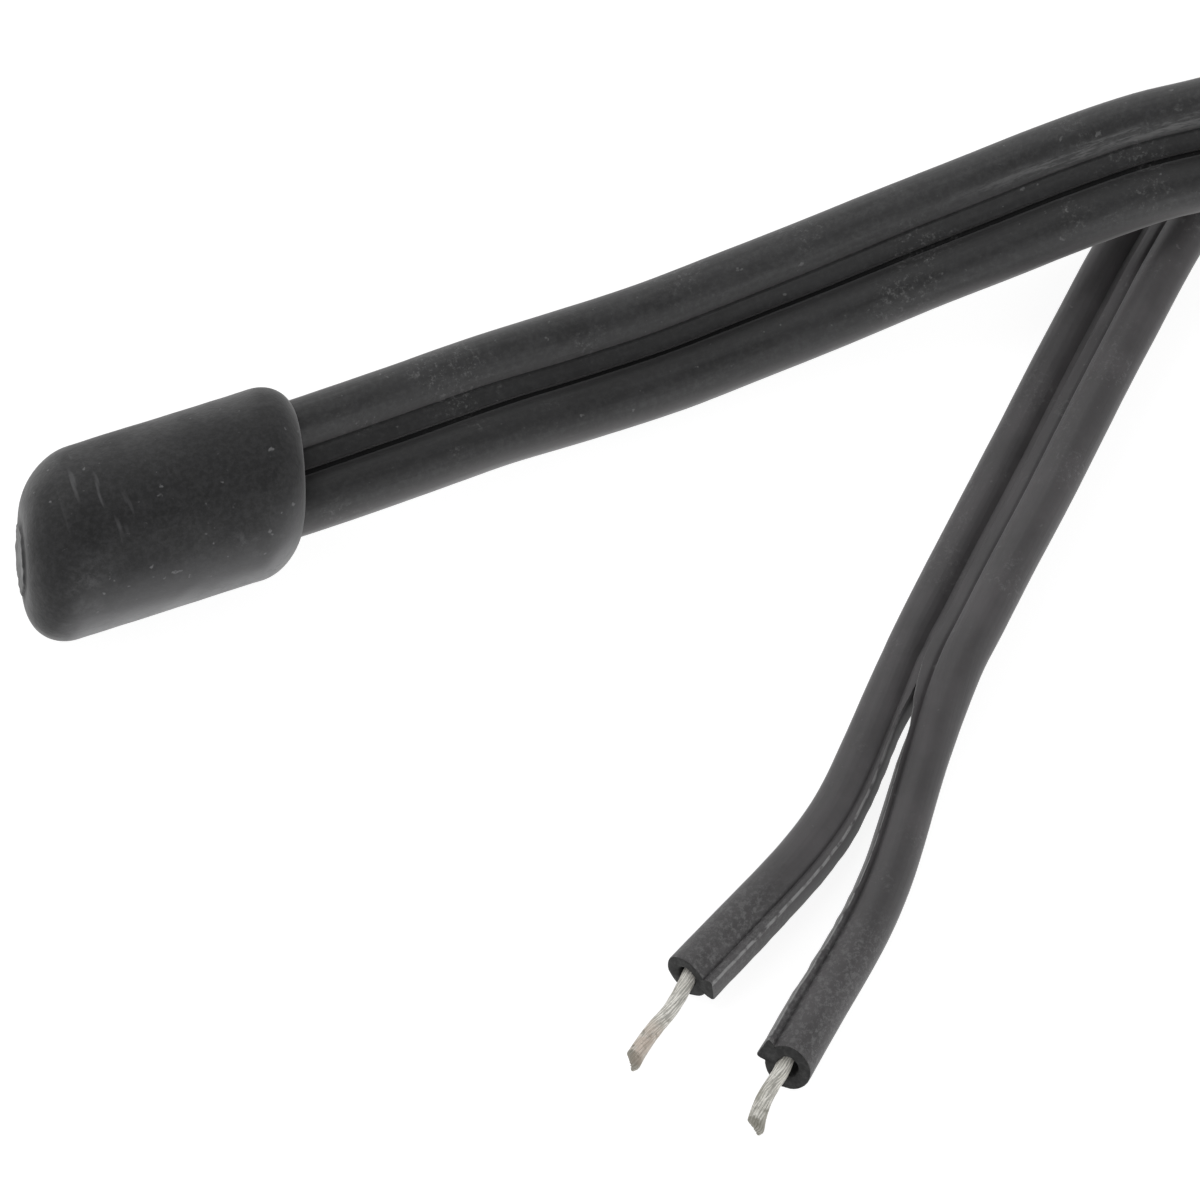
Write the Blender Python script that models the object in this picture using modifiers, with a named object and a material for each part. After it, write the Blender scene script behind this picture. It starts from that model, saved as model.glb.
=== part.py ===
"""A moulded-head NTC temperature probe on a flat two-core cable, lying on a bench.

The head is a round rubber moulding with the thermistor, its leads and its splices inside, and lies
along X with its nose at -X. The cable leaves the head's rear at +X, passes over its own far end,
is wound into a hank, and comes back to where its two cores part and end in bare tinned wires.
Units are metres, with +Z up. The origin is on the bench, under the middle of the head.
"""

import math

import bmesh
import bpy
import numpy as np
from mathutils import Vector

MM = 0.001

# Head
HEAD_DIAMETER = 6.0 * MM
HEAD_LENGTH = 9.4 * MM
NOSE_EDGE_RADIUS = 1.75 * MM
NOSE_CROWN = 0.12 * MM
GATE_DIAMETER = 2.2 * MM
REAR_EDGE_RADIUS = 1.3 * MM
CABLE_SOCKET_DEPTH = 2.8 * MM
CHAMBER_ROOM = 0.35 * MM

# Flat two-core cable
CORE_DIAMETER = 1.8 * MM
CORE_SPACING = 2.5 * MM
RIB_THICKNESS = 0.94 * MM
RIB_WIDTH = 0.6 * MM
CONDUCTOR_DIAMETER = 0.62 * MM
VALLEY_THICKNESS = 0.76 * MM

# Thermistor and its connections, inside the head
BEAD_DIAMETER = 1.5 * MM
BEAD_LENGTH = 1.9 * MM
BEAD_TAPER_SHARE = 0.22
LEAD_DIAMETER = 0.26 * MM
LEAD_FREE_LENGTH = 1.35 * MM
LEAD_SLEEVE_WALL = 0.13 * MM
SPLICE_WALL = 0.135 * MM
SPLICE_LENGTH = 1.2 * MM
SPLICE_OVERLAP = 0.45 * MM

# Bare ends
BARE_END_LIFT = 0.38 * MM

# Hank, wound with the cable's wide face upright
HANK_WEST_X = 61.9 * MM
HANK_Y = -2.5 * MM
HANK_RUN = 20.0 * MM
HANK_INNER_RADIUS = 7.5 * MM
HANK_TURNS = 5.6
TURN_PITCH = 1.85 * MM
TIE_THICKNESS = 0.45 * MM
TIE_WIDTH = 2.2 * MM
TIE_RUN_SHARE = 0.62
TIE_INNER_RADIUS = 0.3 * MM
TIE_CLASP_LENGTH = 2.2 * MM
TIE_CLASP_HEIGHT = 0.45 * MM
TIE_CLASP_SHARE = 0.59

# Clearances and overruns
FIT_GAP = 0.12 * MM
SMALL_GAP = 0.1 * MM
BORE_GAP = 0.08 * MM
CUT_OVERRUN = 1.0 * MM
MERGE_DISTANCE = 0.001 * MM

# Resolution
TURNED_STEPS = 48
SMALL_TURNED_STEPS = 20
EDGE_STEPS = 6
LOBE_STEPS = 9
HANK_END_STEPS = 16
ROUTE_STEP = 3.2 * MM
CORE_STEP = 2.0 * MM
ROUTE_SAMPLES = 24

# How far the cable's wide face is rolled towards the front where it leaves the head
EXIT_ROLL_DEGREES = 12.0

# Places that follow from the sizes above
HEAD_RADIUS = HEAD_DIAMETER / 2
HEAD_REAR_X = HEAD_LENGTH / 2
CORE_RADIUS = CORE_DIAMETER / 2
CORE_OFFSET = CORE_SPACING / 2
CABLE_WIDTH = CORE_SPACING + CORE_DIAMETER
CABLE_START_X = HEAD_REAR_X - CABLE_SOCKET_DEPTH + SMALL_GAP
SPLICE_BORE = CONDUCTOR_DIAMETER + 2 * BORE_GAP
SPLICE_DIAMETER = SPLICE_BORE + 2 * SPLICE_WALL
SPLICE_REAR_X = CABLE_START_X - SPLICE_OVERLAP
SPLICE_FRONT_X = SPLICE_REAR_X - SPLICE_LENGTH
LEAD_SLEEVE_BORE = LEAD_DIAMETER + 2 * BORE_GAP
LEAD_SLEEVE_DIAMETER = LEAD_SLEEVE_BORE + 2 * LEAD_SLEEVE_WALL
LEAD_SPACING_AT_BEAD = LEAD_SLEEVE_DIAMETER + SMALL_GAP
LEAD_START_X = SPLICE_FRONT_X - LEAD_FREE_LENGTH
BEAD_REAR_X = LEAD_START_X - SMALL_GAP
BEAD_FRONT_X = BEAD_REAR_X - BEAD_LENGTH
CHAMBER_FRONT_X = BEAD_FRONT_X - SMALL_GAP
HANK_OUTER_RADIUS = HANK_INNER_RADIUS + TURN_PITCH * HANK_TURNS
HANK_HEIGHT = CABLE_WIDTH

# The cable's route: x, y and z of its centre in millimetres, and its roll in degrees, which is
# 0 where the wide face lies flat and 90 where it stands upright.
OUTGOING_ROUTE = [
    (CABLE_START_X / MM, 0.00, HEAD_RADIUS / MM, EXIT_ROLL_DEGREES),
    ((HEAD_REAR_X + FIT_GAP) / MM, 0.00, HEAD_RADIUS / MM, EXIT_ROLL_DEGREES),
    (8.30, 0.40, 2.66, 12),
    (11.50, 0.94, 1.96, 12),
    (14.40, 1.22, 1.37, 12),
    (17.40, 1.32, 1.21, 12),
    (20.20, 1.37, 1.40, 12),
    (23.00, 1.34, 1.88, 12),
    (25.90, 1.28, 2.52, 12),
    (28.70, 1.13, 3.22, 12),
    (31.40, 1.02, 3.84, 12),
    (34.20, 0.88, 4.26, 12),
    (36.20, 0.61, 4.47, 12),
    (38.60, 0.21, 4.95, 12),
    (41.00, -0.22, 5.42, 12),
    (44.50, -0.85, 5.74, 12),
    (49.00, -1.85, 5.76, 12),
    (53.60, -3.00, 5.76, 13),
    (56.60, -3.85, 5.72, 16),
    (59.40, -4.80, 5.12, 32),
    (62.10, -5.78, 4.02, 54),
    (64.80, -6.80, 2.95, 75),
    (67.40, -7.86, 2.34, 86),
]
RETURN_ROUTE = [
    (42.55, 4.45, 2.12, 64),
    (40.60, 3.10, 1.95, 53),
    (38.30, 2.00, 1.72, 40),
    (36.55, 1.22, 1.58, 35),
    (34.90, 0.18, 1.52, 33),
    (33.21, -1.26, 1.50, 32),
    (31.48, -2.93, 1.50, 32),
    (29.69, -4.67, 1.50, 32),
    (27.95, -6.41, 1.50, 32),
    (26.21, -8.13, 1.49, 31),
    (24.45, -9.82, 1.44, 28),
    (22.30, -12.00, 1.38, 25),
]
CORE_A_ROUTE = [
    (22.88, -12.94, 1.86),
    (22.20, -13.62, 1.76),
    (21.30, -14.50, 1.60),
    (20.62, -15.25, 1.30),
    (19.95, -16.00, 1.02),
    (19.32, -16.83, 0.94),
    (18.70, -17.74, 0.92),
    (18.05, -18.63, 0.92),
    (17.33, -19.50, 0.92),
    (16.53, -20.33, 0.92),
    (14.76, -21.92, 0.92),
    (13.00, -23.50, 0.92),
    (12.40, -24.09, 0.92),
]
CORE_B_ROUTE = [
    (21.36, -11.42, 0.92),
    (20.60, -12.36, 0.92),
    (19.61, -13.51, 0.92),
    (18.84, -14.37, 0.92),
    (18.07, -15.23, 0.92),
    (17.29, -16.09, 0.92),
    (16.37, -16.89, 0.92),
    (15.34, -17.65, 0.92),
    (14.17, -18.35, 0.92),
    (12.92, -19.02, 0.92),
    (11.70, -19.69, 0.92),
    (10.68, -20.25, 0.92),
]
WIRE_A_END = (10.65, -25.72)
WIRE_B_END = (7.77, -22.25)

parts = None
guides = None


def start_scene():
    """Empties the scene and makes one collection for the parts and one for the cutters and guides."""
    global parts, guides
    for item in list(bpy.data.objects):
        bpy.data.objects.remove(item, do_unlink=True)
    parts = bpy.data.collections.new("ntc_temperature_probe")
    guides = bpy.data.collections.new("cutters_and_guides")
    for group in (parts, guides):
        bpy.context.scene.collection.children.link(group)


def material(name, colour, roughness, metallic=0.0):
    made = bpy.data.materials.get(name)
    if made is None:
        made = bpy.data.materials.new(name)
        made.use_nodes = True
        shader = made.node_tree.nodes["Principled BSDF"]
        shader.inputs["Base Color"].default_value = (*colour, 1.0)
        shader.inputs["Roughness"].default_value = roughness
        shader.inputs["Metallic"].default_value = metallic
        made.diffuse_color = (*colour, 1.0)
    return made


def head_rubber():
    return material("head_rubber", (0.030, 0.030, 0.032), 0.72)


def cable_rubber():
    return material("cable_rubber", (0.020, 0.020, 0.021), 0.48)


def tinned_copper():
    return material("tinned_copper", (0.72, 0.68, 0.60), 0.30, 1.0)


def epoxy():
    return material("epoxy", (0.045, 0.050, 0.055), 0.25)


def white_sleeve():
    return material("white_sleeve", (0.78, 0.77, 0.72), 0.45)


def tie_plastic():
    return material("tie_plastic", (0.035, 0.035, 0.036), 0.40)


def guide(item):
    """Moves an object to the guides, where it is drawn as wires and not rendered."""
    for group in list(item.users_collection):
        group.objects.unlink(item)
    guides.objects.link(item)
    item.hide_render = True
    item.display_type = "WIRE"
    return item


def shade_round(item, sharp_degrees=40.0):
    item.data.shade_smooth()
    item.data.set_sharp_from_angle(angle=math.radians(sharp_degrees))


def turned(name, profile, steps, finish):
    """A solid turned about its own Z, from (radius, height) points that run down its outer side."""
    mesh = bpy.data.meshes.new(name)
    edges = [(i, i + 1) for i in range(len(profile) - 1)]
    mesh.from_pydata([(radius, 0.0, height) for radius, height in profile], edges, [])
    item = bpy.data.objects.new(name, mesh)
    parts.objects.link(item)
    screw = item.modifiers.new("turn", "SCREW")
    screw.axis = "Z"
    screw.angle = math.tau
    screw.steps = steps
    screw.render_steps = steps
    screw.use_merge_vertices = True
    screw.merge_threshold = MERGE_DISTANCE
    screw.use_smooth_shade = True
    item.data.materials.append(finish)
    return item


def arc(centre, radius, start_degrees, end_degrees, steps):
    """Points of an arc in a plane, both ends included."""
    turns = np.radians(np.linspace(start_degrees, end_degrees, steps + 1))
    return [(centre[0] + radius * math.cos(t), centre[1] + radius * math.sin(t)) for t in turns]


def rolled(outline, degrees):
    """The points of a flat outline, turned about its centre."""
    c, s = math.cos(math.radians(degrees)), math.sin(math.radians(degrees))
    return [(u * c - v * s, u * s + v * c) for u, v in outline]


def cable_outline(grow=0.0):
    """The flat cable's section: two round lobes with a rib between them, each side moved out by grow.

    The section is thinnest in the valleys beside the rib. There the outline moves out by twice grow.
    """
    radius = CORE_RADIUS + grow
    half_arc = 180.0 - math.degrees(math.asin((VALLEY_THICKNESS / 2 + 2 * grow) / radius))
    rib_top = RIB_THICKNESS / 2 + grow
    rib_side = RIB_WIDTH / 2
    right = arc((CORE_OFFSET, 0.0), radius, -half_arc, half_arc, LOBE_STEPS)
    left = arc((-CORE_OFFSET, 0.0), radius, 180.0 - half_arc, 180.0 + half_arc, LOBE_STEPS)
    upper_rib = [(rib_side, rib_top), (-rib_side, rib_top)]
    lower_rib = [(-rib_side, -rib_top), (rib_side, -rib_top)]
    return right + upper_rib + left + lower_rib


def slot_outline(half_length, radius, steps):
    """A slot with round ends, about its centre and along its first axis."""
    straight = half_length - radius
    right = arc((straight, 0.0), radius, -90.0, 90.0, steps)
    left = arc((-straight, 0.0), radius, 90.0, 270.0, steps)
    return right + left


def flat_curve(name, outlines):
    """A 2D curve of closed outlines. An outline inside another is a hole in it."""
    curve = bpy.data.curves.new(name, "CURVE")
    curve.dimensions = "2D"
    for outline in outlines:
        spline = curve.splines.new("POLY")
        spline.points.add(len(outline) - 1)
        for point, (u, v) in zip(spline.points, outline):
            point.co = (u, v, 0.0, 1.0)
        spline.use_cyclic_u = True
    return curve


def as_mesh(item, finish=None):
    """Replaces a curve object by a mesh object of the same shape and place, with its caps welded."""
    bpy.context.view_layer.update()
    shape = item.evaluated_get(bpy.context.evaluated_depsgraph_get())
    mesh = bpy.data.meshes.new_from_object(shape)
    cage = bmesh.new()
    cage.from_mesh(mesh)
    bmesh.ops.remove_doubles(cage, verts=cage.verts, dist=MERGE_DISTANCE)
    bmesh.ops.recalc_face_normals(cage, faces=cage.faces)
    cage.to_mesh(mesh)
    cage.free()
    name, place, groups = item.name, item.matrix_world.copy(), list(item.users_collection)
    bpy.data.objects.remove(item, do_unlink=True)
    mesh.name = name
    mesh.materials.clear()
    if finish is not None:
        mesh.materials.append(finish)
    made = bpy.data.objects.new(name, mesh)
    made.matrix_world = place
    for group in groups:
        group.objects.link(made)
    return made


def prism(name, outlines, low, high, axis, finish=None, height=0.0):
    """A flat outline given thickness from low to high along X or Z.

    Along X the outline is in Y and Z, with its own zero at the height given.
    """
    curve = flat_curve(name, outlines)
    curve.fill_mode = "BOTH"
    curve.extrude = (high - low) / 2
    item = bpy.data.objects.new(name, curve)
    middle = (low + high) / 2
    if axis == "X":
        item.location = (middle, 0.0, height)
        item.rotation_euler = (math.pi / 2, 0.0, math.pi / 2)
    else:
        item.location = (0.0, 0.0, middle)
    parts.objects.link(item)
    return as_mesh(item, finish)


def cut(item, cutter):
    """Cuts one object by another, which becomes a guide."""
    guide(cutter)
    boolean = item.modifiers.new("cut_" + cutter.name, "BOOLEAN")
    boolean.operation = "DIFFERENCE"
    boolean.solver = "EXACT"
    boolean.object = cutter


def smooth_route(route, step):
    """Evenly spaced points of a smooth curve through a route's points, in millimetres as the route is."""
    points = np.array(route, float)
    whole = np.vstack([2 * points[0] - points[1], points, 2 * points[-1] - points[-2]])
    dense = []
    for before, start, end, after in zip(whole, whole[1:], whole[2:], whole[3:]):
        pairs = ((before, start), (start, end), (end, after))
        gaps = [np.linalg.norm((b - a)[:3]) ** 0.5 for a, b in pairs]
        leave = ((start - before) / gaps[0] - (end - before) / (gaps[0] + gaps[1])) * gaps[1] + (end - start)
        reach = ((after - end) / gaps[2] - (after - start) / (gaps[1] + gaps[2])) * gaps[1] + (end - start)
        for t in np.linspace(0.0, 1.0, ROUTE_SAMPLES, endpoint=False):
            dense.append(
                (2 * t**3 - 3 * t**2 + 1) * start
                + (t**3 - 2 * t**2 + t) * leave
                + (3 * t**2 - 2 * t**3) * end
                + (t**3 - t**2) * reach
            )
    dense = np.array(dense + [points[-1]])
    along = np.concatenate([[0.0], np.cumsum(np.linalg.norm(np.diff(dense[:, :3], axis=0), axis=1))])
    count = max(2, round(along[-1] * MM / step)) + 1
    wanted = np.linspace(0.0, along[-1], count)
    return np.column_stack([np.interp(wanted, along, column) for column in dense.T])


def tube(name, points, finish, radius=None, section=None, rolls=None):
    """A capped tube along points: round with a radius, or swept from a section rolled about its path."""
    curve = bpy.data.curves.new(name, "CURVE")
    curve.dimensions = "3D"
    curve.twist_mode = "Z_UP"
    curve.use_fill_caps = True
    if section is None:
        curve.bevel_depth = radius
        curve.bevel_resolution = 2
    else:
        curve.bevel_mode = "OBJECT"
        curve.bevel_object = section
    spline = curve.splines.new("POLY")
    spline.points.add(len(points) - 1)
    for i, place in enumerate(points):
        spline.points[i].co = (*place, 1.0)
        if rolls is not None:
            spline.points[i].tilt = math.radians(rolls[i])
    item = bpy.data.objects.new(name, curve)
    parts.objects.link(item)
    return as_mesh(item, finish)


def make_sensor_head():
    """The moulded head: a round body with a crowned nose, a gate face, a rounded rear and a rear socket."""
    nose, rear = HEAD_LENGTH / 2, -HEAD_LENGTH / 2
    shoulder = nose - NOSE_CROWN
    nose_centre = (HEAD_RADIUS - NOSE_EDGE_RADIUS, shoulder - NOSE_EDGE_RADIUS)
    rear_centre = (HEAD_RADIUS - REAR_EDGE_RADIUS, rear + REAR_EDGE_RADIUS)
    nose_edge = arc(nose_centre, NOSE_EDGE_RADIUS, 90.0, 0.0, EDGE_STEPS)
    rear_edge = arc(rear_centre, REAR_EDGE_RADIUS, 0.0, -90.0, EDGE_STEPS)
    profile = [(0.0, nose), (GATE_DIAMETER / 2, nose), *nose_edge, *rear_edge, (0.0, rear)]
    head = turned("sensor_head", profile, TURNED_STEPS, head_rubber())
    head.rotation_euler = (0.0, -math.pi / 2, 0.0)
    head.location = (0.0, 0.0, HEAD_RADIUS)
    socket_front = HEAD_REAR_X - CABLE_SOCKET_DEPTH
    socket = prism(
        "cable_socket",
        [rolled(cable_outline(FIT_GAP), EXIT_ROLL_DEGREES)],
        socket_front,
        HEAD_REAR_X + CUT_OVERRUN,
        "X",
        height=HEAD_RADIUS,
    )
    chamber_half_height = BEAD_DIAMETER / 2 + CHAMBER_ROOM
    chamber_half_width = CORE_OFFSET + SPLICE_DIAMETER / 2 + CHAMBER_ROOM
    chamber = prism(
        "splice_chamber",
        [rolled(slot_outline(chamber_half_width, chamber_half_height, EDGE_STEPS), EXIT_ROLL_DEGREES)],
        CHAMBER_FRONT_X,
        socket_front + SMALL_GAP,
        "X",
        height=HEAD_RADIUS,
    )
    cut(head, socket)
    cut(head, chamber)
    return head


def core_side(side):
    """The middle of a core's lobe where the cable leaves the head, as y and z. side is 1 or -1."""
    (y, z), = rolled([(side * CORE_OFFSET, 0.0)], EXIT_ROLL_DEGREES)
    return y, z + HEAD_RADIUS


def make_thermistor():
    """The glass bead in its epoxy drop, narrower towards the leads, with two leads to the splices."""
    half = BEAD_LENGTH / 2
    radius = BEAD_DIAMETER / 2
    turns = np.radians(np.linspace(90.0, -90.0, 2 * EDGE_STEPS + 1))
    profile = []
    for t in turns:
        height = half * math.sin(t)
        taper = 1.0 - BEAD_TAPER_SHARE * max(0.0, -math.sin(t))
        profile.append((max(0.0, radius * math.cos(t) * taper), height))
    profile[0] = (0.0, half)
    profile[-1] = (0.0, -half)
    bead = turned("thermistor_bead", profile, SMALL_TURNED_STEPS, epoxy())
    bead.rotation_euler = (0.0, -math.pi / 2, 0.0)
    bead.location = (BEAD_FRONT_X + half, 0.0, HEAD_RADIUS)


def between(start, end, distance):
    """The point that lies a distance from start towards end."""
    way = Vector(end) - Vector(start)
    return Vector(start) + way.normalized() * distance


def pipe(name, start, end, outer, bore, finish):
    """A straight open tube between two points, turned from its wall's rectangle."""
    length = (Vector(end) - Vector(start)).length
    half = length / 2
    wall = [(bore / 2, half), (outer / 2, half), (outer / 2, -half), (bore / 2, -half), (bore / 2, half)]
    item = turned(name, wall, SMALL_TURNED_STEPS, finish)
    item.rotation_mode = "QUATERNION"
    item.rotation_quaternion = (Vector(start) - Vector(end)).to_track_quat("Z", "Y")
    item.location = (Vector(start) + Vector(end)) / 2


def make_connections():
    """For each core: a lead in its sleeve, a splice, and the stripped end of the conductor."""
    for letter, side in (("a", 1), ("b", -1)):
        y, z = core_side(side)
        (lead_y, lead_z), = rolled([(side * LEAD_SPACING_AT_BEAD / 2, 0.0)], EXIT_ROLL_DEGREES)
        bead_end = (LEAD_START_X, lead_y, HEAD_RADIUS + lead_z)
        splice_front = (SPLICE_FRONT_X, y, z)
        splice_rear = (SPLICE_REAR_X, y, z)
        inside = (SPLICE_FRONT_X + SPLICE_OVERLAP, y, z)
        tube(
            f"thermistor_lead_{letter}",
            [bead_end, splice_front, inside],
            tinned_copper(),
            LEAD_DIAMETER / 2,
        )
        sleeve_start = between(bead_end, splice_front, SMALL_GAP)
        sleeve_end = between(splice_front, bead_end, SMALL_GAP)
        pipe(
            f"lead_sleeve_{letter}",
            sleeve_start,
            sleeve_end,
            LEAD_SLEEVE_DIAMETER,
            LEAD_SLEEVE_BORE,
            white_sleeve(),
        )
        pipe(
            f"splice_{letter}",
            splice_front,
            splice_rear,
            SPLICE_DIAMETER,
            SPLICE_BORE,
            tinned_copper(),
        )
        conductor_start = (inside[0] + SMALL_GAP, y, z)
        conductor_end = (CABLE_START_X - SMALL_GAP, y, z)
        tube(
            f"conductor_end_{letter}",
            [conductor_start, splice_rear, conductor_end],
            tinned_copper(),
            CONDUCTOR_DIAMETER / 2,
        )


def make_cable_section():
    section = bpy.data.objects.new("cable_section", flat_curve("cable_section", [cable_outline()]))
    section.data.fill_mode = "NONE"
    bpy.context.scene.collection.objects.link(section)
    return guide(section)


def make_cable():
    """The stretches of cable outside the hank, and the two parted cores."""
    section = make_cable_section()
    for name, route in (("cable_outgoing", OUTGOING_ROUTE), ("cable_return", RETURN_ROUTE)):
        stretch = smooth_route(route, ROUTE_STEP)
        tube(name, stretch[:, :3] * MM, cable_rubber(), section=section, rolls=stretch[:, 3])
    for letter, route, wire_end in (("a", CORE_A_ROUTE, WIRE_A_END), ("b", CORE_B_ROUTE, WIRE_B_END)):
        core = smooth_route(route, CORE_STEP)[:, :3] * MM
        tube(f"core_{letter}", core, cable_rubber(), CORE_RADIUS)
        end = Vector((wire_end[0] * MM, wire_end[1] * MM, BARE_END_LIFT))
        start = between(core[-1], end, SMALL_GAP)
        tube(f"bare_wire_{letter}", [start, end], tinned_copper(), CONDUCTOR_DIAMETER / 2)


def hank_outline(radius):
    """A slot outline with its ends' centres HANK_RUN apart, where the hank lies."""
    east = arc((HANK_WEST_X + HANK_RUN, HANK_Y), radius, -90.0, 90.0, HANK_END_STEPS)
    west = arc((HANK_WEST_X, HANK_Y), radius, 90.0, 270.0, HANK_END_STEPS)
    return east + west


def rectangle(left, right, bottom, top):
    return [(left, bottom), (right, bottom), (right, top), (left, top)]


def rounded(left, right, bottom, top, radius, on_top=()):
    """A rectangle with round corners, and with these points in the middle of its top, right to left."""
    return [
        *arc((right - radius, bottom + radius), radius, -90.0, 0.0, EDGE_STEPS),
        *arc((right - radius, top - radius), radius, 0.0, 90.0, EDGE_STEPS),
        *on_top,
        *arc((left + radius, top - radius), radius, 90.0, 180.0, EDGE_STEPS),
        *arc((left + radius, bottom + radius), radius, 180.0, 270.0, EDGE_STEPS),
    ]


def make_hank():
    """The outer shape of the cable's turns, as one ring with straight sides, lifted over its two ties.

    Each tie is a band round one straight side, closed by a clasp on top. It passes through a groove in
    the side's underside.
    """
    outer = HANK_OUTER_RADIUS + CORE_RADIUS
    inner = HANK_INNER_RADIUS - CORE_RADIUS
    ring = [hank_outline(outer), hank_outline(inner)]
    hank = prism("cable_hank", ring, 0.0, HANK_HEIGHT, "Z", cable_rubber())
    tie_x = HANK_WEST_X + HANK_RUN * TIE_RUN_SHARE
    groove_top = TIE_THICKNESS + SMALL_GAP
    tie_top = HANK_HEIGHT + groove_top + SMALL_GAP
    groove_half = TIE_WIDTH / 2 + SMALL_GAP
    for letter, side in (("a", 1), ("b", -1)):
        near, far = sorted((HANK_Y + side * inner, HANK_Y + side * outer))
        groove = prism(
            f"tie_groove_{letter}",
            [rectangle(near - CUT_OVERRUN, far + CUT_OVERRUN, -CUT_OVERRUN, groove_top)],
            tie_x - groove_half,
            tie_x + groove_half,
            "X",
        )
        cut(hank, groove)
        space = rounded(near - SMALL_GAP, far + SMALL_GAP, TIE_THICKNESS, tie_top, TIE_INNER_RADIUS)
        side_gap = SMALL_GAP + TIE_THICKNESS
        band_top = tie_top + TIE_THICKNESS
        clasp_top = band_top + TIE_CLASP_HEIGHT
        clasp_middle = near + (far - near) * TIE_CLASP_SHARE
        clasp_low, clasp_high = clasp_middle - TIE_CLASP_LENGTH / 2, clasp_middle + TIE_CLASP_LENGTH / 2
        clasp = [
            (clasp_high, band_top),
            (clasp_high, clasp_top),
            (clasp_low, clasp_top),
            (clasp_low, band_top),
        ]
        outer_radius = TIE_INNER_RADIUS + TIE_THICKNESS
        band = rounded(near - side_gap, far + side_gap, 0.0, band_top, outer_radius, clasp)
        prism(
            f"hank_tie_{letter}",
            [band, space],
            tie_x - TIE_WIDTH / 2,
            tie_x + TIE_WIDTH / 2,
            "X",
            tie_plastic(),
        )


def build():
    start_scene()
    make_sensor_head()
    make_thermistor()
    make_connections()
    make_cable()
    make_hank()
    for item in parts.objects:
        shade_round(item)


build()
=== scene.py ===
import math

import bmesh
import bpy
import numpy as np
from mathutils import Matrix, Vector, noise


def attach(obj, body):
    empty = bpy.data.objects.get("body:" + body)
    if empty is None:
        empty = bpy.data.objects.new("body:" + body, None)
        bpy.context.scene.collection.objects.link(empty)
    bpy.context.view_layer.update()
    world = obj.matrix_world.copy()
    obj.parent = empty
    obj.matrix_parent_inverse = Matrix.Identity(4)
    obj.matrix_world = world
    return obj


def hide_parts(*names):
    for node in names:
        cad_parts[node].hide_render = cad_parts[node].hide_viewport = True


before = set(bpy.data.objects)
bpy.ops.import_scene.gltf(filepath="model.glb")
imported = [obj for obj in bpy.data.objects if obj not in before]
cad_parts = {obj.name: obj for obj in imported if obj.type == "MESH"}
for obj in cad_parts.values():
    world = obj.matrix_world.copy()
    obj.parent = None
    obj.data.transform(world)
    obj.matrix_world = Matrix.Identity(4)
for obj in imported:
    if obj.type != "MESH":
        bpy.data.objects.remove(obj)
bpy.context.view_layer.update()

# A moulded-head temperature probe on a flat two-core cable. Sizes, routes and places are in
# millimetres.
MM = 0.001

HEAD_RADIUS = 3.0
NOSE_X = -4.88
REAR_X = 4.60
CABLE_EXIT_X = 4.70
NOSE_EDGE = 1.72
NOSE_CROWN = 0.12
REAR_EDGE = 1.50
GATE_RADIUS = 1.05
HEAD_SIDES = 160
# How far the head's sections slant along it for each millimetre off its axis, and which way
HEAD_LEAN = 0.25
LEAN_Y, LEAN_Z = 0.895, 0.447

CORE_RADIUS = 0.92
CORE_OFFSET = 1.28
PARTING_OFFSET = 1.18
RIB_HALF_WIDTH = 0.25
RIB_SHARE = 0.50

HANK_WEST_X = 61.90
HANK_Y = -2.5
HANK_Z = 2.19
HANK_RUN = 20.0
HANK_INNER_RADIUS = 7.5
HANK_TURNS = 5.6
TURN_PITCH = 1.85
SOUTH_SWELL = 0.12
WINDING_STEP = 12.0
RUN_POINTS = 6

TIE_X = HANK_WEST_X + 0.62 * HANK_RUN
TIE_LOW, TIE_HIGH = 0.01, 5.39
TIE_HALF_WIDTH = 1.10
TIE_INNER_CORNER, TIE_OUTER_CORNER = 0.30, 0.75
TIE_BEVEL = 0.08
TIE_ROOM = 0.53
TIE_LIFT, TIE_LIFT_REACH = 0.42, 4.5
CLASP_HALF_LENGTH, CLASP_HEIGHT, CLASP_CHAMFER = 1.10, 0.45, 0.06
CLASP_PLACE = 0.59

# x, y, z and roll of the cable's centre
OUTGOING_ROUTE = [
    (2.00, 0.08, 3.05, 12),
    (4.82, 0.10, 3.05, 12),
    (8.30, 0.40, 2.66, 12),
    (11.50, 0.88, 1.96, 12),
    (14.40, 1.16, 1.38, 12),
    (17.40, 1.26, 1.24, 12),
    (20.20, 1.37, 1.40, 12),
    (23.00, 1.34, 1.88, 12),
    (25.90, 1.28, 2.52, 12),
    (28.70, 1.13, 3.22, 12),
    (31.40, 1.02, 3.84, 12),
    (34.20, 0.88, 4.26, 12),
    (36.20, 0.61, 4.47, 12),
    (38.60, 0.21, 4.95, 12),
    (41.00, -0.22, 5.42, 12),
    (44.50, -0.85, 5.74, 12),
    (49.00, -1.85, 5.76, 12),
    (53.60, -3.00, 5.76, 13),
    (56.60, -3.85, 5.72, 16),
    (59.40, -4.80, 5.12, 32),
    (62.10, -5.78, 4.02, 54),
    (64.80, -6.80, 2.95, 75),
    (67.40, -7.86, 2.34, 86),
]
JOIN_ROUTE = [
    (70.40, -8.98, 2.23, 90),
    (73.60, -9.79, 2.19, 90),
    (77.60, -9.99, 2.19, 90),
]
LEAVE_ROUTE = [
    (47.00, 8.30, 2.18, 82),
]
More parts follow.
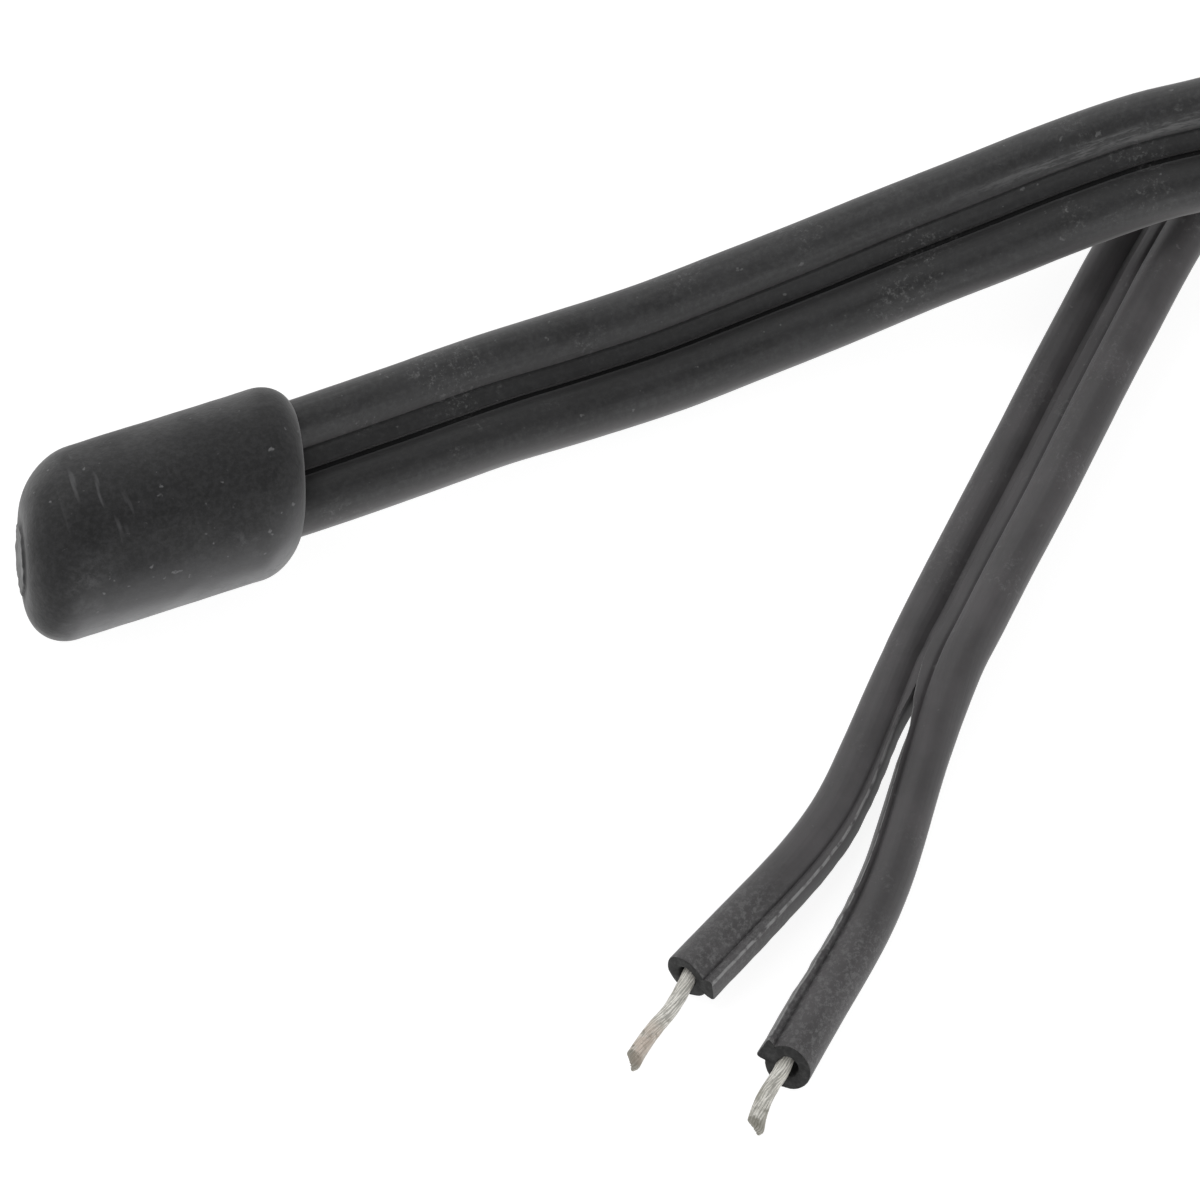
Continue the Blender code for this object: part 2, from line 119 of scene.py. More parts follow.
RETURN_ROUTE = [
    (42.55, 4.45, 2.12, 64),
    (40.60, 3.10, 1.95, 53),
    (38.30, 2.00, 1.72, 40),
    (36.55, 1.22, 1.58, 35),
    (34.90, 0.18, 1.52, 33),
    (33.21, -1.26, 1.50, 32),
    (31.48, -2.93, 1.50, 32),
    (29.69, -4.67, 1.50, 32),
    (27.95, -6.41, 1.50, 32),
    (26.21, -8.13, 1.49, 31),
    (24.45, -9.82, 1.44, 32),
    (22.25, -12.00, 1.40, 32),
]
# x, y and z of the parted cores' centres, and their roll
CORE_A_ROUTE = [
    (22.69, -12.85, 1.91, 25),
    (22.16, -13.47, 1.80, 15),
    (21.70, -13.98, 1.63, 8),
    (21.25, -14.48, 1.43, 1),
    (20.83, -14.99, 1.20, -6),
    (20.40, -15.51, 1.02, -10),
    (19.97, -16.04, 0.87, -13),
    (19.55, -16.60, 0.76, -16),
    (18.69, -17.80, 0.77, -18),
    (17.83, -18.96, 0.79, -18),
    (16.90, -20.05, 0.81, -18),
    (15.86, -21.09, 0.82, -18),
    (14.68, -22.13, 0.82, -18),
    (13.49, -23.18, 0.82, -18),
    (12.33, -24.24, 0.82, -18),
]
CORE_B_ROUTE = [
    (20.64, -12.24, 0.76, 26),
    (20.11, -12.81, 0.75, 22),
    (19.59, -13.37, 0.75, 19),
    (18.55, -14.51, 0.74, 15),
    (17.47, -15.70, 0.75, 14),
    (16.85, -16.30, 0.76, 14),
    (16.14, -16.87, 0.76, 14),
    (15.37, -17.40, 0.77, 14),
    (14.56, -17.90, 0.78, 14),
    (13.72, -18.37, 0.79, 14),
    (12.06, -19.29, 0.81, 14),
    (10.45, -20.19, 0.82, 14),
]
WIRE_A = [
    (12.72, -23.51, 0.84),
    (12.47, -23.86, 0.80),
    (12.14, -24.23, 0.72),
    (11.69, -24.55, 0.58),
    (11.28, -24.91, 0.46),
    (10.97, -25.27, 0.36),
    (10.73, -25.65, 0.30),
]
WIRE_B = [
    (10.81, -19.92, 0.82),
    (10.58, -20.14, 0.80),
    (10.31, -20.43, 0.76),
    (9.61, -21.01, 0.62),
    (8.91, -21.41, 0.48),
    (8.26, -21.87, 0.36),
    (7.85, -22.22, 0.30),
]


# ---- camera, light and floor

CAMERA_AZIMUTH, CAMERA_ELEVATION = -20.0, 62.0
CAMERA_TARGET = (12.329, -7.077, 1.706)
CAMERA_DISTANCE = 0.300
SENSOR_WIDTH, FOCAL_LENGTH = 36.0, 280.8
# name, place, aim, size and watts
LAMPS = (
    ("key", (-0.12, 0.30, 0.60), (0.02, -0.005, 0.0), (0.50, 0.40), 1.15),
    ("front", (0.10, -0.62, 0.20), (0.02, -0.01, 0.0), (0.90, 0.42), 1.35),
    ("back", (0.00, 0.62, 0.20), (0.02, -0.01, 0.0), (0.90, 0.42), 0.75),
)
WHITE = (1.0, 1.0, 1.0, 1.0)
# The sky's strength fades between these heights of a direction
SKY_HEIGHTS = (0.10, 0.85)
SKY_STRENGTHS = (1.00, 0.26)
FLOOR_HALF = 3
FLOOR_PLACE = (0.03, 0.0, -0.00002)
FLOOR_COLOUR = (0.80, 0.80, 0.80, 1.0)
FLOOR_SEEN_COLOUR = (0.34, 0.34, 0.34, 1.0)
FLOOR_GLOW = 0.88


def make_camera():
    camera = bpy.data.objects.new("camera", bpy.data.cameras.new("camera"))
    bpy.context.scene.collection.objects.link(camera)
    azimuth, elevation = math.radians(CAMERA_AZIMUTH), math.radians(CAMERA_ELEVATION)
    back = Vector((
        math.sin(azimuth) * math.cos(elevation),
        -math.cos(azimuth) * math.cos(elevation),
        math.sin(elevation),
    ))
    camera.location = Vector(CAMERA_TARGET) * MM + back * CAMERA_DISTANCE
    camera.rotation_euler = back.to_track_quat("Z", "Y").to_euler()
    camera.data.sensor_width = SENSOR_WIDTH
    camera.data.lens = FOCAL_LENGTH
    camera.data.clip_start = 0.01
    camera.data.clip_end = 10.0
    bpy.context.scene.camera = camera


def softbox(name, place, aim, size, watts):
    light = bpy.data.lights.new(name, "AREA")
    light.shape = "RECTANGLE"
    light.size, light.size_y = size
    light.energy = watts
    item = bpy.data.objects.new(name, light)
    item.location = place
    item.rotation_euler = (Vector(place) - Vector(aim)).to_track_quat("Z", "Y").to_euler()
    bpy.context.scene.collection.objects.link(item)


def plain_shader(tree, kind, colour=WHITE, strength=None):
    made = tree.nodes.new(kind)
    made.inputs["Color"].default_value = colour
    if strength is not None:
        made.inputs["Strength"].default_value = strength
    return made


def show_mix(tree, kind, amount, first, second):
    """Links a mix of two shaders to a new output of this kind."""
    mix = tree.nodes.new("ShaderNodeMixShader")
    for source, socket in zip((amount, first.outputs[0], second.outputs[0]), mix.inputs):
        tree.links.new(source, socket)
    tree.links.new(mix.outputs[0], tree.nodes.new(kind).inputs["Surface"])


def make_world():
    """A soft sky that fades upwards. The camera sees plain white in its place."""
    world = bpy.data.worlds.new("studio")
    bpy.context.scene.world = world
    world.use_nodes = True
    tree = world.node_tree
    tree.nodes.clear()
    direction = tree.nodes.new("ShaderNodeTexCoord")
    split = tree.nodes.new("ShaderNodeSeparateXYZ")
    tree.links.new(direction.outputs["Generated"], split.inputs[0])
    sky = plain_shader(tree, "ShaderNodeBackground")
    strength = spread(tree, split.outputs["Z"], *SKY_HEIGHTS, *SKY_STRENGTHS)
    tree.links.new(strength, sky.inputs["Strength"])
    white = plain_shader(tree, "ShaderNodeBackground", strength=1.0)
    path = tree.nodes.new("ShaderNodeLightPath")
    show_mix(tree, "ShaderNodeOutputWorld", path.outputs["Is Camera Ray"], sky, white)


def make_floor():
    """A plane that keeps the shadows, and that the camera, gloss and glass see as white."""
    mesh = bpy.data.meshes.new("floor")
    corners = [(x * FLOOR_HALF, y * FLOOR_HALF, 0) for x, y in ((-1, -1), (1, -1), (1, 1), (-1, 1))]
    mesh.from_pydata(corners, [], [(0, 1, 2, 3)])
    floor = bpy.data.objects.new("floor", mesh)
    floor.location = FLOOR_PLACE
    bpy.context.scene.collection.objects.link(floor)
    made = bpy.data.materials.new("floor_white")
    made.use_nodes = True
    tree = made.node_tree
    tree.nodes.clear()
    plain = plain_shader(tree, "ShaderNodeBsdfDiffuse", FLOOR_COLOUR)
    faint = plain_shader(tree, "ShaderNodeBsdfDiffuse", FLOOR_SEEN_COLOUR)
    glow = plain_shader(tree, "ShaderNodeEmission", strength=FLOOR_GLOW)
    seen = tree.nodes.new("ShaderNodeAddShader")
    tree.links.new(faint.outputs[0], seen.inputs[0])
    tree.links.new(glow.outputs[0], seen.inputs[1])
    path = tree.nodes.new("ShaderNodeLightPath")
    reflected = largest(tree, path.outputs["Is Glossy Ray"], path.outputs["Is Transmission Ray"])
    seeing = largest(tree, path.outputs["Is Camera Ray"], reflected)
    show_mix(tree, "ShaderNodeOutputMaterial", seeing, plain, seen)
    floor.data.materials.append(made)


# ---- routes

def dense_route(route, samples=24):
    """Points of a smooth curve through a route's points."""
    points = np.array(route, float)
    whole = np.vstack([2 * points[0] - points[1], points, 2 * points[-1] - points[-2]])
    dense = []
    for before, start, end, after in zip(whole, whole[1:], whole[2:], whole[3:]):
        pairs = ((before, start), (start, end), (end, after))
        first, middle, last = [np.linalg.norm((b - a)[:3]) ** 0.5 for a, b in pairs]
        leave = ((start - before) / first - (end - before) / (first + middle)) * middle + (end - start)
        reach = ((after - end) / last - (after - start) / (middle + last)) * middle + (end - start)
        for t in np.linspace(0.0, 1.0, samples, endpoint=False):
            dense.append(
                (2 * t**3 - 3 * t**2 + 1) * start
                + (t**3 - 2 * t**2 + t) * leave
                + (3 * t**2 - 2 * t**3) * end
                + (t**3 - t**2) * reach
            )
    return np.array(dense + [points[-1]])


def distance_along(points):
    return np.concatenate([[0.0], np.cumsum(np.linalg.norm(np.diff(points[:, :3], axis=0), axis=1))])


def evenly(points, places):
    """The points at these distances along."""
    along = distance_along(points)
    return np.column_stack([np.interp(places, along, column) for column in points.T])


def winding_route():
    """The hank's turns, on edge, from the inner run's east end outwards to where the cable leaves."""
    route = []
    east, west = HANK_WEST_X + HANK_RUN, HANK_WEST_X
    for degrees in np.arange(0.0, HANK_TURNS * 360.0 + 0.1, WINDING_STEP):
        heading = degrees % 360.0
        turn = math.radians(heading)
        radius = HANK_INNER_RADIUS + TURN_PITCH * degrees / 360.0
        # the southern runs lie further apart, and fill their tie
        radius += SOUTH_SWELL * (radius - HANK_INNER_RADIUS) * max(0.0, math.cos(turn))
        x, y = radius * math.sin(turn), HANK_Y - radius * math.cos(turn)
        straight = heading in (0.0, 180.0)
        if heading == 180.0:
            xs = np.linspace(east, west, RUN_POINTS)
        elif heading == 0.0:
            xs = np.linspace(west, east, RUN_POINTS) if degrees > 0.0 else [east]
        else:
            xs = [x + (east if heading < 180.0 else west)]
        for place in xs:
            near_tie = math.exp(-(((place - TIE_X) / TIE_LIFT_REACH) ** 2))
            lift = TIE_LIFT * near_tie if straight else 0.0
            route.append((place, y, HANK_Z + lift, 90))
    return route


def left_and_up(points):
    """Unit vectors along, to the left of and above a route."""
    forward = np.gradient(points[:, :3], axis=0)
    forward /= np.linalg.norm(forward, axis=1)[:, None]
    left = np.cross([0.0, 0.0, 1.0], forward)
    left /= np.linalg.norm(left, axis=1)[:, None]
    return forward, left, np.cross(forward, left)


def turned_frame(points):
    """Along, across and through directions of a cable that is rolled by the route's fourth value."""
    forward, left, up = left_and_up(points)
    roll = np.radians(points[:, 3])[:, None]
    across = left * np.cos(roll) + up * np.sin(roll)
    return forward, across, np.cross(forward, across)


def smoothed(points, times):
    out = points.copy()
    for _ in range(times):
        out[1:-1] = 0.25 * out[:-2] + 0.5 * out[1:-1] + 0.25 * out[2:]
    return out


# ---- meshes

def object_from(name, verts, faces, finish, uvs=None, sharp=38.0):
    mesh = bpy.data.meshes.new(name)
    mesh.from_pydata([tuple(v) for v in verts], [], faces)
    if uvs is not None:
        layer = mesh.uv_layers.new(name="along_and_round")
        layer.data.foreach_set("uv", np.array(uvs, float).ravel())
    mesh.materials.append(finish)
    cage = bmesh.new()
    cage.from_mesh(mesh)
    bmesh.ops.recalc_face_normals(cage, faces=cage.faces)
    cage.to_mesh(mesh)
    cage.free()
    mesh.shade_smooth()
    mesh.set_sharp_from_angle(angle=math.radians(sharp))
    item = bpy.data.objects.new(name, mesh)
    bpy.context.scene.collection.objects.link(item)
    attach(item, "root")
    return item


class Shell:
    """Collects lofted tubes into one mesh. Places are in millimetres, and UVs in metres."""

    def __init__(self):
        self.verts, self.faces, self.uvs = [], [], []

    def loft(self, rings, along, shift=0.0):
        rings = np.asarray(rings)
        count, sides = rings.shape[:2]
        base = len(self.verts)
        self.verts.extend(rings.reshape(-1, 3) * MM)
        widths = np.linalg.norm(np.roll(rings[count // 2], -1, axis=0) - rings[count // 2], axis=1)
        round_places = np.concatenate([[0.0], np.cumsum(widths)]) + shift
        for i in range(count - 1):
            for j in range(sides):
                k = (j + 1) % sides
                a, b = base + i * sides, base + (i + 1) * sides
                self.faces.append((a + j, a + k, b + k, b + j))
                u, w = along[i] * MM, along[i + 1] * MM
                v, x = round_places[j] * MM, round_places[j + 1] * MM
                self.uvs.extend([(u, v), (u, x), (w, x), (w, v)])
        for first, place in ((base, along[0]), (base + (count - 1) * sides, along[-1])):
            self.faces.append(tuple(range(first, first + sides)))
            self.uvs.extend([(place * MM, 0.0)] * sides)

    def make(self, name, finish, sharp=38.0):
        return object_from(name, self.verts, self.faces, finish, self.uvs, sharp)


def rough(place, scale, seed):
    """Smooth noise from -1 to 1 at a place in millimetres."""
    return noise.noise(Vector(place) * scale + Vector((seed, seed * 1.7, seed * 0.6)))


def ripple(place, *waves):
    """Waves of noise added up, each with its height, scale and seed."""
    return sum(height * rough(place, scale, seed) for height, scale, seed in waves)


# ---- shader helpers

def new_material(name, roughness, metallic=0.0):
    made = bpy.data.materials.new(name)
    made.use_nodes = True
    shader = made.node_tree.nodes["Principled BSDF"]
    shader.inputs["Roughness"].default_value = roughness
    shader.inputs["Metallic"].default_value = metallic
    return made, made.node_tree, shader


def coordinates(tree, kind, scale=(1.0, 1.0, 1.0)):
    source = tree.nodes.new("ShaderNodeTexCoord")
    mapping = tree.nodes.new("ShaderNodeMapping")
    mapping.inputs["Scale"].default_value = scale
    tree.links.new(source.outputs[kind], mapping.inputs["Vector"])
    return mapping.outputs[0]


def along_and_round(tree):
    """The two parts of a lofted piece's UVs."""
    source = tree.nodes.new("ShaderNodeTexCoord")
    split = tree.nodes.new("ShaderNodeSeparateXYZ")
    tree.links.new(source.outputs["UV"], split.inputs[0])
    return split.outputs["X"], split.outputs["Y"]


def noise_of(tree, vector, scale, detail, roughness):
    made = tree.nodes.new("ShaderNodeTexNoise")
    made.inputs["Scale"].default_value = scale
    made.inputs["Detail"].default_value = detail
    made.inputs["Roughness"].default_value = roughness
    tree.links.new(vector, made.inputs["Vector"])
    return made.outputs["Fac"]


def spread(tree, value, low, high, to_low=0.0, to_high=1.0):
    """Goes softly from to_low to to_high, as the value goes from low to high."""
    made = tree.nodes.new("ShaderNodeMapRange")
    made.interpolation_type = "SMOOTHSTEP"
    for key, number in (("From Min", low), ("From Max", high), ("To Min", to_low), ("To Max", to_high)):
        made.inputs[key].default_value = number
    tree.links.new(value, made.inputs["Value"])
    return made.outputs["Result"]


def ranged(tree, mask, first, second):
    """Goes softly from first to second, as the mask goes from 0 to 1."""
    return spread(tree, mask, 0.0, 1.0, first, second)


def noise_mask(tree, vector, pattern, to_low=0.0, to_high=1.0):
    """Noise as a mask. Its pattern is scale, detail, roughness, and the values between which it rises."""
    return spread(tree, noise_of(tree, vector, *pattern[:3]), *pattern[3:], to_low, to_high)


def band(tree, value, low, high, soft):
    """1 between two values, fading over soft."""
    rise = spread(tree, value, low - soft, low)
    fall = spread(tree, value, high, high + soft, 1.0, 0.0)
    return times(tree, rise, fall)


def maths(tree, kind, a, b):
    made = tree.nodes.new("ShaderNodeMath")
    made.operation = kind
    for socket, value in zip(made.inputs, (a, b)):
        if isinstance(value, (int, float)):
            socket.default_value = value
        else:
            tree.links.new(value, socket)
    return made.outputs[0]


def times(tree, value, *others):
    for other in others:
        value = maths(tree, "MULTIPLY", value, other)
    return value


def largest(tree, value, *others):
    for other in others:
        value = maths(tree, "MAXIMUM", value, other)
    return value


def blend_colour(tree, amount, first, second):
    made = tree.nodes.new("ShaderNodeMix")
    made.data_type = "RGBA"
    tree.links.new(amount, made.inputs["Factor"])
    for key, value in (("A", first), ("B", second)):
        socket = [s for s in made.inputs if s.name == key and s.type == "RGBA"][0]
        if isinstance(value, tuple):
            socket.default_value = (*value, 1.0)
        else:
            tree.links.new(value, socket)
    return [s for s in made.outputs if s.type == "RGBA"][0]


def painted(tree, colour, mask, paint):
    """Lays a paint over a colour where the mask says. A paint is its share and its linear colour."""
    share, tint = paint
    return blend_colour(tree, times(tree, mask, share), colour, tint)


def bump(tree, shader, height, depth, strength, after=None):
    made = tree.nodes.new("ShaderNodeBump")
    made.inputs["Distance"].default_value = depth
    made.inputs["Strength"].default_value = strength
    tree.links.new(height, made.inputs["Height"])
    if after is not None:
        tree.links.new(after, made.inputs["Normal"])
    tree.links.new(made.outputs[0], shader.inputs["Normal"])
    return made.outputs[0]


def noise_bump(tree, shader, vector, relief, after=None):
    """Bumps from noise. Their relief is scale, detail, roughness, depth and strength."""
    return bump(tree, shader, noise_of(tree, vector, *relief[:3]), *relief[3:], after)


# ---- finishes

# A noise pattern is scale, detail, roughness, and the two values between which the noise rises. A
# relief is scale, detail, roughness, depth and strength. A paint is a share and a linear colour.

# The film of dust that both rubbers wear
DUST_SPECULAR, DUST_SHEEN, DUST_SHEEN_ROUGHNESS = 0.40, 0.31, 0.36
# The way that the lower faces look, which get painted light as if from the white floor, and on the head dust
# too
LOWER_WAY = (0.31, -0.865, -0.396)

HEAD_CLOUD = (420.0, 4.0, 0.6, 0.36, 0.68)
HEAD_GRAIN = (5200.0, 4.0, 0.7, 0.35, 0.70)
HEAD_DUST = (2400.0, 4.0, 0.75, 0.46, 0.66)
HEAD_DUST_PATCHES = (260.0, 2.0, 0.5, 0.42, 0.58)
HEAD_SPECKS = (3000.0, 2.0, 0.5, 0.69, 0.77)
HEAD_MARKS_SCALE = (2600.0, 420.0, 420.0)
HEAD_MARKS = (1.0, 2.0, 0.5, 0.62, 0.72)
HEAD_MARK_PATCHES = (300.0, 1.0, 0.5, 0.48, 0.62)
HEAD_RELIEF = (2600.0, 3.0, 0.6, 0.00003, 0.55)
HEAD_FINE_RELIEF = (9000.0, 2.0, 0.5, 0.00001, 0.6)
HEAD_DARK, HEAD_PALE = (0.0045, 0.0045, 0.0050), (0.0125, 0.0125, 0.0132)
# Painted light: the colour of the head's lower faces, as if lit from the white floor
HEAD_FLOOR_LIGHT = (0.125, 0.125, 0.128)
HEAD_GRAIN_PAINT = (0.50, (0.038, 0.038, 0.0395))
# Painted reflection: a pale rim on the head's lowest faces
HEAD_RIM_LIGHT_PAINT = (0.60, (0.34, 0.34, 0.345))
# Dust in patches, together with painted light, on the head's lower faces
HEAD_DUST_AND_FLOOR_LIGHT_PAINT = (0.55, (0.13, 0.13, 0.134))
HEAD_SPECK_PAINT = (0.60, (0.20, 0.20, 0.205))
HEAD_MARK_PAINT = (0.45, (0.13, 0.13, 0.135))

# By the UVs: stretches along the cable, and bands round its cores' sections with how softly they
# end. Core a's section starts at 0, and core b's at CORE_B_UV_SHIFT millimetres.
CORE_B_UV_SHIFT = 9.0
# The cable's colour goes paler between these two places along it, towards its far end
FAR_END_STRETCH = (0.10, 0.70)
TORN_STRETCH = (0.7928, 0.8028)
NICKED_STRETCH = (0.8034, 0.8058)
RUBBED_STRETCH = (0.031, 0.055, 0.006)
RUBBED_BAND = (0.0045, 0.0047, 0.0003)
RIB_BAND = (0.0051, 0.0066, 0.0002)
LEE_BAND = (0.0139, 0.0150, 0.0016)
GROOVE_BANDS = ((0.00566, 0.0066, 0.00005), (0.01404, 0.0150, 0.00022))
TORN_BANDS = ((0.00565, 0.00572, 0.00004), (0.01460, 0.01467, 0.00004))
STREAK_SCALE = (110.0, 3600.0, 1.0)
RUB_SCALE = (420.0, 2600.0, 1.0)
CABLE_STREAKS = (1.0, 3.0, 0.55, 0.35, 0.70)
CABLE_CLOUD = (380.0, 4.0, 0.6, 0.38, 0.70)
CABLE_GRAIN = (4600.0, 4.0, 0.75, 0.40, 0.68)
CABLE_PATCHES = (330.0, 2.0, 0.5, 0.50, 0.64)
CABLE_CHIPS = (5600.0, 4.0, 0.75, 0.50, 0.74)
CABLE_RUBS = (1.0, 4.0, 0.8, 0.44, 0.60)
CABLE_NICKS = (5200.0, 4.0, 0.8, 0.46, 0.64)
CABLE_TEARS = (2600.0, 3.0, 0.6, 0.32, 0.54)
CABLE_SPECKS = (3600.0, 2.0, 0.5, 0.70, 0.78)
CABLE_RELIEF = (2200.0, 3.0, 0.6, 0.00002, 0.45)
NEAR_DARK, FAR_DARK = (0.0170, 0.0170, 0.0175), (0.063, 0.0595, 0.0615)
NEAR_PALE, FAR_PALE = (0.027, 0.027, 0.028), (0.090, 0.084, 0.0875)
STREAK_PAINT = (0.28, (0.055, 0.055, 0.056))
CABLE_GRAIN_PAINT = (0.30, (0.075, 0.075, 0.076))
# Painted shade for the rib, its lee and its grooves
GROOVE_SHADE_PAINT = (0.85, (0.0050, 0.0050, 0.0053))
# Painted light for the cable's lower faces, and a painted pale rim on its lowest, as if from the white floor
CABLE_FLOOR_LIGHT_PAINT = (0.85, (0.110, 0.107, 0.108))
CABLE_RIM_LIGHT_PAINT = (0.45, (0.30, 0.30, 0.30))
SCUFF_PAINT = (0.62, (0.18, 0.18, 0.18))
TORN_PAINT = (0.80, (0.34, 0.34, 0.34))
CABLE_SPECK_PAINT = (0.45, (0.17, 0.17, 0.17))

CUT_GRAIN = (3200.0, 4.0, 0.7, 0.40, 0.72)
CUT_RELIEF = (2600.0, 3.0, 0.7, 0.00004, 0.7)
CUT_DARK, CUT_PALE = (0.006, 0.006, 0.006), (0.040, 0.040, 0.040)

# The UVs' first part is here the share of the wire's length. The section of the wire's fused core,
# which shows between the strands, starts at FUSED_UV_SHIFT millimetres.
FUSED_UV_SHIFT = 20.0
BETWEEN_STRANDS = (0.0150, 0.0160)
WIRE_CLOUD = (900.0, 3.0, 0.6, 0.40, 0.70)
WIRE_GRIME = (2600.0, 4.0, 0.75, 0.52, 0.68)
WIRE_LINES_SCALE = (9.0, 14000.0, 1.0)
WIRE_LINES = (1.0, 3.0, 0.7, 0.52, 0.66)
WIRE_TINT = (1500.0, 3.0, 0.6, 0.40, 0.60)
WIRE_RELIEF = (4200.0, 3.0, 0.6, 0.00001, 0.6)
WIRE_BRIGHT, WIRE_GREY = (0.94, 0.92, 0.86), (0.70, 0.68, 0.62)
WIRE_LINE_PAINT = (0.55, (0.22, 0.21, 0.18))
# Painted shade for the fused core between the strands
STRAND_GAP_SHADE_PAINT = (0.50, (0.14, 0.135, 0.115))
WIRE_DARK = (0.16, 0.15, 0.115)
GRIME_SHARE, END_SHARE = 0.66, 0.62

TIE_CLOUD = (700.0, 3.0, 0.6, 0.35, 0.70)
TIE_RELIEF = (3000.0, 2.0, 0.5, 0.00001, 0.5)
TIE_DARK, TIE_PALE = (0.018, 0.018, 0.019), (0.035, 0.035, 0.037)


def dusty(shader):
    """Gives a rubber its film of fine dust, palest where the surface turns away."""
    shader.inputs["Specular IOR Level"].default_value = DUST_SPECULAR
    shader.inputs["Sheen Weight"].default_value = DUST_SHEEN
    shader.inputs["Sheen Roughness"].default_value = DUST_SHEEN_ROUGHNESS


def lower_side(tree, low, high=1.0):
    """1 on faces that look forward and down, 0 on the others."""
    facing = tree.nodes.new("ShaderNodeNewGeometry")
    made = tree.nodes.new("ShaderNodeVectorMath")
    made.operation = "DOT_PRODUCT"
    made.inputs[1].default_value = LOWER_WAY
    tree.links.new(facing.outputs["Normal"], made.inputs[0])
    return spread(tree, made.outputs["Value"], low, high)


def head_rubber():
    """Matt moulded rubber: cloudy, dusty, with pale scratches round it, and painted light from below on its
    lower faces.
    """
    made, tree, shader = new_material("moulded_rubber", 0.60)
    dusty(shader)
    place = coordinates(tree, "Object")
    cloud = noise_mask(tree, place, HEAD_CLOUD)
    colour = blend_colour(tree, cloud, HEAD_DARK, HEAD_PALE)
    colour = painted(tree, colour, noise_mask(tree, place, HEAD_GRAIN), HEAD_GRAIN_PAINT)
    # painted light: faces that look forward and down are paler, as if lit from the white floor
    floor_light = times(tree, lower_side(tree, 0.42), ranged(tree, cloud, 0.75, 1.0))
    colour = blend_colour(tree, floor_light, colour, HEAD_FLOOR_LIGHT)
    # painted reflection: a pale rim on the lowest faces, standing in for the white floor's reflection
    colour = painted(tree, colour, lower_side(tree, 0.78), HEAD_RIM_LIGHT_PAINT)
    # dust in noisy patches that also serves as painted light: it lies only on faces turned forward and down
    dust_and_floor_light = times(tree, lower_side(tree, 0.05, 0.75), noise_mask(tree, place, HEAD_DUST))
    dust_and_floor_light = times(tree, dust_and_floor_light, noise_mask(tree, place, HEAD_DUST_PATCHES))
    colour = painted(tree, colour, dust_and_floor_light, HEAD_DUST_AND_FLOOR_LIGHT_PAINT)
    colour = painted(tree, colour, noise_mask(tree, place, HEAD_SPECKS), HEAD_SPECK_PAINT)
    marks = noise_mask(tree, coordinates(tree, "Object", HEAD_MARKS_SCALE), HEAD_MARKS)
    marks = times(tree, marks, noise_mask(tree, place, HEAD_MARK_PATCHES))
    colour = painted(tree, colour, marks, HEAD_MARK_PAINT)
    tree.links.new(colour, shader.inputs["Base Color"])
    tree.links.new(ranged(tree, cloud, 0.56, 0.74), shader.inputs["Roughness"])
    coarse = noise_bump(tree, shader, place, HEAD_RELIEF)
    noise_bump(tree, shader, place, HEAD_FINE_RELIEF, coarse)
    return made


